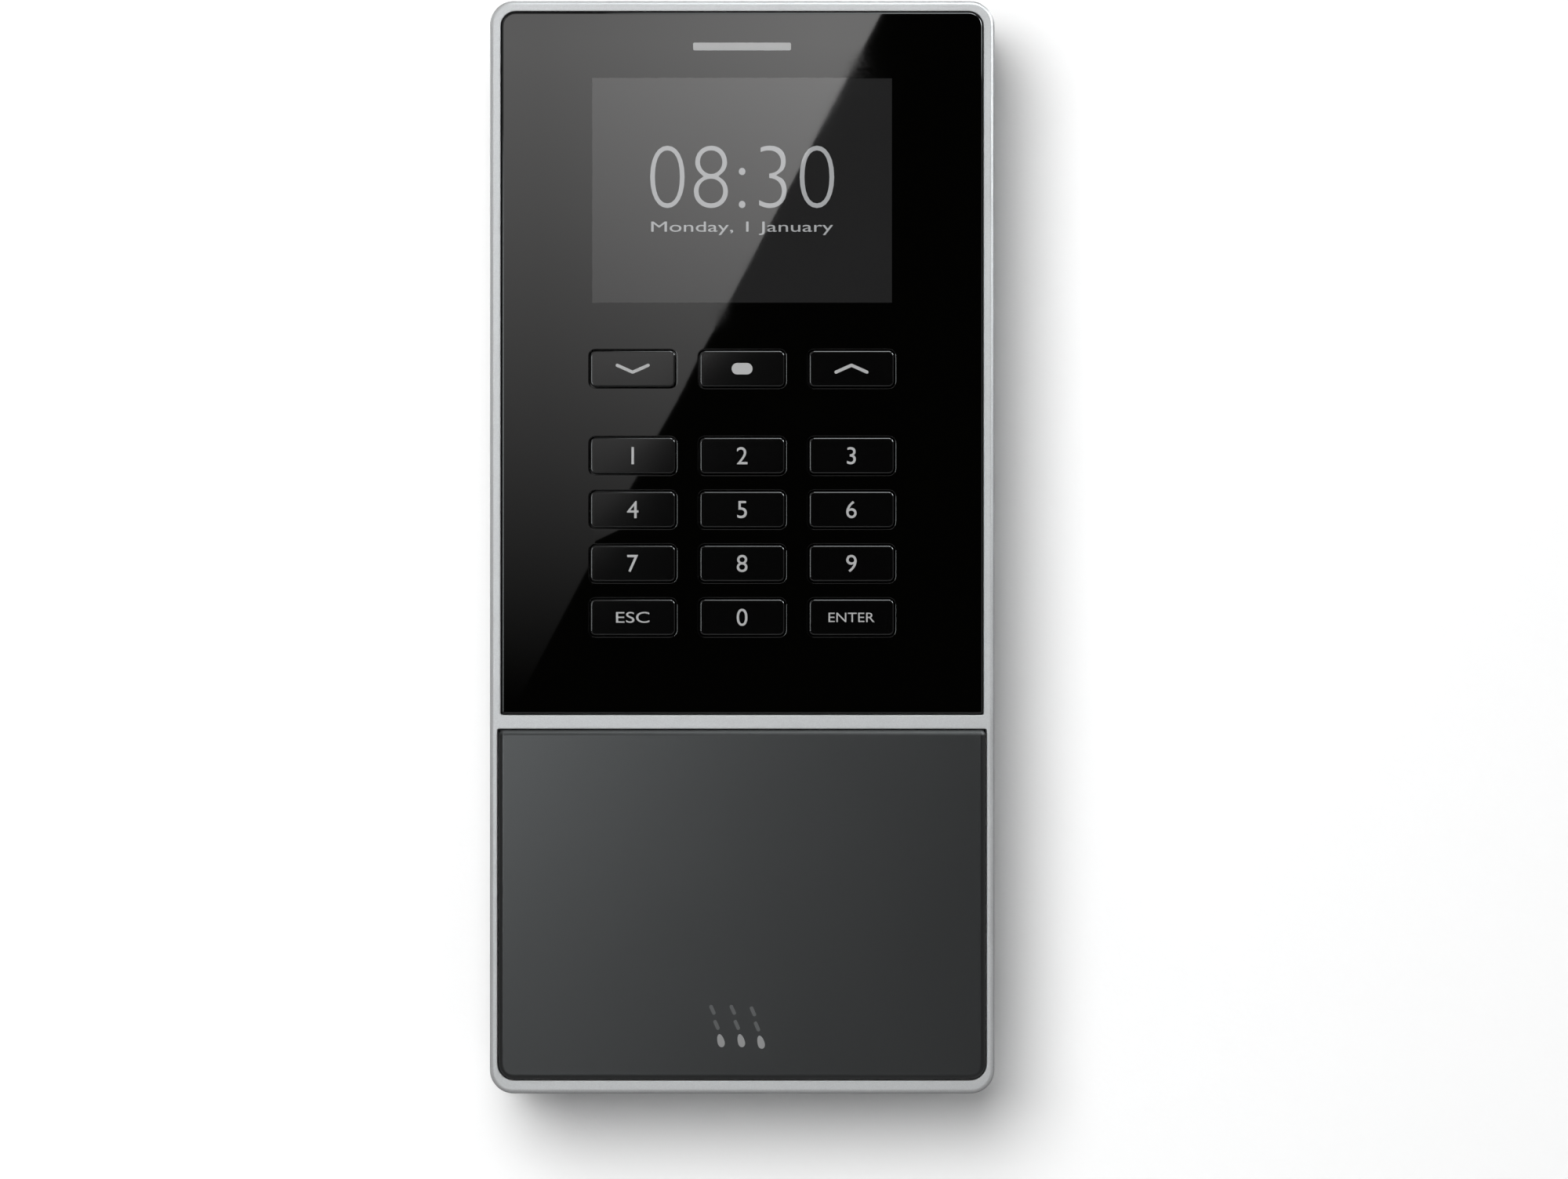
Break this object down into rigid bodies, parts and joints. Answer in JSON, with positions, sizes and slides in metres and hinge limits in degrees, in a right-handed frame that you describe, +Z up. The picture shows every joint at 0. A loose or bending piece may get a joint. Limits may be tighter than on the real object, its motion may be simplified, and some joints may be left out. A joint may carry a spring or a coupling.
{
  "type": "punch time clock",
  "caption": "Wall-mounted punch time clock: a slim terminal with a display window, push keys and a badge-reading cover, hung on a hooked steel plate.",
  "frame": {"origin": "on the wall, on the back face of the steel wall plate, midway across the terminal and at half its height", "axes": "+Z up, +Y into the wall, +X to the right of a person who faces the display; the display faces -Y"},
  "size_m": [0.097, 0.0306, 0.21],
  "materials": {
    "silver_paint": "satin silver paint",
    "gloss_black": "polished, painted black behind",
    "charcoal": "satin",
    "shell_grey": "fine spark texture",
    "chassis_black": "matt",
    "key_black": "satin gloss",
    "display_glass": "polished",
    "circuit_board": "solder mask",
    "silicone_grey": "matt",
    "foam_tape": "matt",
    "zinc_steel": "zinc plated",
    "nickel_steel": "nickel plated",
    "ribbon_amber": "smooth",
    "lead_black": "smooth",
    "socket_black": "moulded",
    "plunger_white": "moulded"
  },
  "bodies": {
    "wall_plate": {"wall_plate": "zinc_steel"},
    "terminal": {"bezel_frame": "silver_paint", "front_glass": "gloss_black", "glass_tape": "foam_tape", "reader_cover": "charcoal", "rear_cover": "shell_grey", "front_chassis": "chassis_black", "lcd_frame": "nickel_steel", "lcd_panel": "display_glass", "keypad_mat": "silicone_grey", "main_board": "circuit_board", "reader_board": "circuit_board", "network_socket": "nickel_steel", "usb_socket": "nickel_steel", "power_socket": "socket_black", "cell_holder": "socket_black", "backup_cell": "nickel_steel", "tamper_switch": "socket_black", "speaker": "chassis_black", "speaker_lead": "lead_black", "antenna_lead": "lead_black", "radio_antenna": "circuit_board", "display_ribbon": "ribbon_amber", "reader_ribbon": "ribbon_amber", "locking_screw": "nickel_steel", "case_screw_1": "nickel_steel", "case_screw_2": "nickel_steel", "case_screw_3": "nickel_steel", "case_screw_4": "nickel_steel", "board_screw_1": "nickel_steel", "board_screw_2": "nickel_steel", "board_screw_3": "nickel_steel", "board_screw_4": "nickel_steel", "reader_screw_1": "nickel_steel", "reader_screw_2": "nickel_steel"},
    "key_down": {"key_down": "key_black"},
    "key_menu": {"key_menu": "key_black"},
    "key_up": {"key_up": "key_black"},
    "key_1": {"key_1": "key_black"},
    "key_2": {"key_2": "key_black"},
    "key_3": {"key_3": "key_black"},
    "key_4": {"key_4": "key_black"},
    "key_5": {"key_5": "key_black"},
    "key_6": {"key_6": "key_black"},
    "key_7": {"key_7": "key_black"},
    "key_8": {"key_8": "key_black"},
    "key_9": {"key_9": "key_black"},
    "key_cancel": {"key_cancel": "key_black"},
    "key_0": {"key_0": "key_black"},
    "key_enter": {"key_enter": "key_black"},
    "tamper_plunger": {"tamper_plunger": "plunger_white"}
  },
  "joints": [
    {"name": "terminal_lift", "type": "slide", "parent": "wall_plate", "child": "terminal", "axis": [0, 0, 1], "range_m": [0, 0.006]},
    {"name": "key_down_press", "type": "slide", "parent": "terminal", "child": "key_down", "axis": [0, 1, 0], "range_m": [0, 0.0008], "stiffness_N_per_m": 800, "springref_m": -0.0005, "deforming": ["keypad_mat"]},
    {"name": "key_menu_press", "type": "slide", "parent": "terminal", "child": "key_menu", "axis": [0, 1, 0], "range_m": [0, 0.0008], "stiffness_N_per_m": 800, "springref_m": -0.0005, "deforming": ["keypad_mat"]},
    {"name": "key_up_press", "type": "slide", "parent": "terminal", "child": "key_up", "axis": [0, 1, 0], "range_m": [0, 0.0008], "stiffness_N_per_m": 800, "springref_m": -0.0005, "deforming": ["keypad_mat"]},
    {"name": "key_1_press", "type": "slide", "parent": "terminal", "child": "key_1", "axis": [0, 1, 0], "range_m": [0, 0.0008], "stiffness_N_per_m": 800, "springref_m": -0.0005, "deforming": ["keypad_mat"]},
    {"name": "key_2_press", "type": "slide", "parent": "terminal", "child": "key_2", "axis": [0, 1, 0], "range_m": [0, 0.0008], "stiffness_N_per_m": 800, "springref_m": -0.0005, "deforming": ["keypad_mat"]},
    {"name": "key_3_press", "type": "slide", "parent": "terminal", "child": "key_3", "axis": [0, 1, 0], "range_m": [0, 0.0008], "stiffness_N_per_m": 800, "springref_m": -0.0005, "deforming": ["keypad_mat"]},
    {"name": "key_4_press", "type": "slide", "parent": "terminal", "child": "key_4", "axis": [0, 1, 0], "range_m": [0, 0.0008], "stiffness_N_per_m": 800, "springref_m": -0.0005, "deforming": ["keypad_mat"]},
    {"name": "key_5_press", "type": "slide", "parent": "terminal", "child": "key_5", "axis": [0, 1, 0], "range_m": [0, 0.0008], "stiffness_N_per_m": 800, "springref_m": -0.0005, "deforming": ["keypad_mat"]},
    {"name": "key_6_press", "type": "slide", "parent": "terminal", "child": "key_6", "axis": [0, 1, 0], "range_m": [0, 0.0008], "stiffness_N_per_m": 800, "springref_m": -0.0005, "deforming": ["keypad_mat"]},
    {"name": "key_7_press", "type": "slide", "parent": "terminal", "child": "key_7", "axis": [0, 1, 0], "range_m": [0, 0.0008], "stiffness_N_per_m": 800, "springref_m": -0.0005, "deforming": ["keypad_mat"]},
    {"name": "key_8_press", "type": "slide", "parent": "terminal", "child": "key_8", "axis": [0, 1, 0], "range_m": [0, 0.0008], "stiffness_N_per_m": 800, "springref_m": -0.0005, "deforming": ["keypad_mat"]},
    {"name": "key_9_press", "type": "slide", "parent": "terminal", "child": "key_9", "axis": [0, 1, 0], "range_m": [0, 0.0008], "stiffness_N_per_m": 800, "springref_m": -0.0005, "deforming": ["keypad_mat"]},
    {"name": "key_cancel_press", "type": "slide", "parent": "terminal", "child": "key_cancel", "axis": [0, 1, 0], "range_m": [0, 0.0008], "stiffness_N_per_m": 800, "springref_m": -0.0005, "deforming": ["keypad_mat"]},
    {"name": "key_0_press", "type": "slide", "parent": "terminal", "child": "key_0", "axis": [0, 1, 0], "range_m": [0, 0.0008], "stiffness_N_per_m": 800, "springref_m": -0.0005, "deforming": ["keypad_mat"]},
    {"name": "key_enter_press", "type": "slide", "parent": "terminal", "child": "key_enter", "axis": [0, 1, 0], "range_m": [0, 0.0008], "stiffness_N_per_m": 800, "springref_m": -0.0005, "deforming": ["keypad_mat"]},
    {"name": "tamper_press", "type": "slide", "parent": "terminal", "child": "tamper_plunger", "axis": [0, 1, 0], "range_m": [-0.001, 0], "stiffness_N_per_m": 300, "springref_m": 0.001}
  ]
}
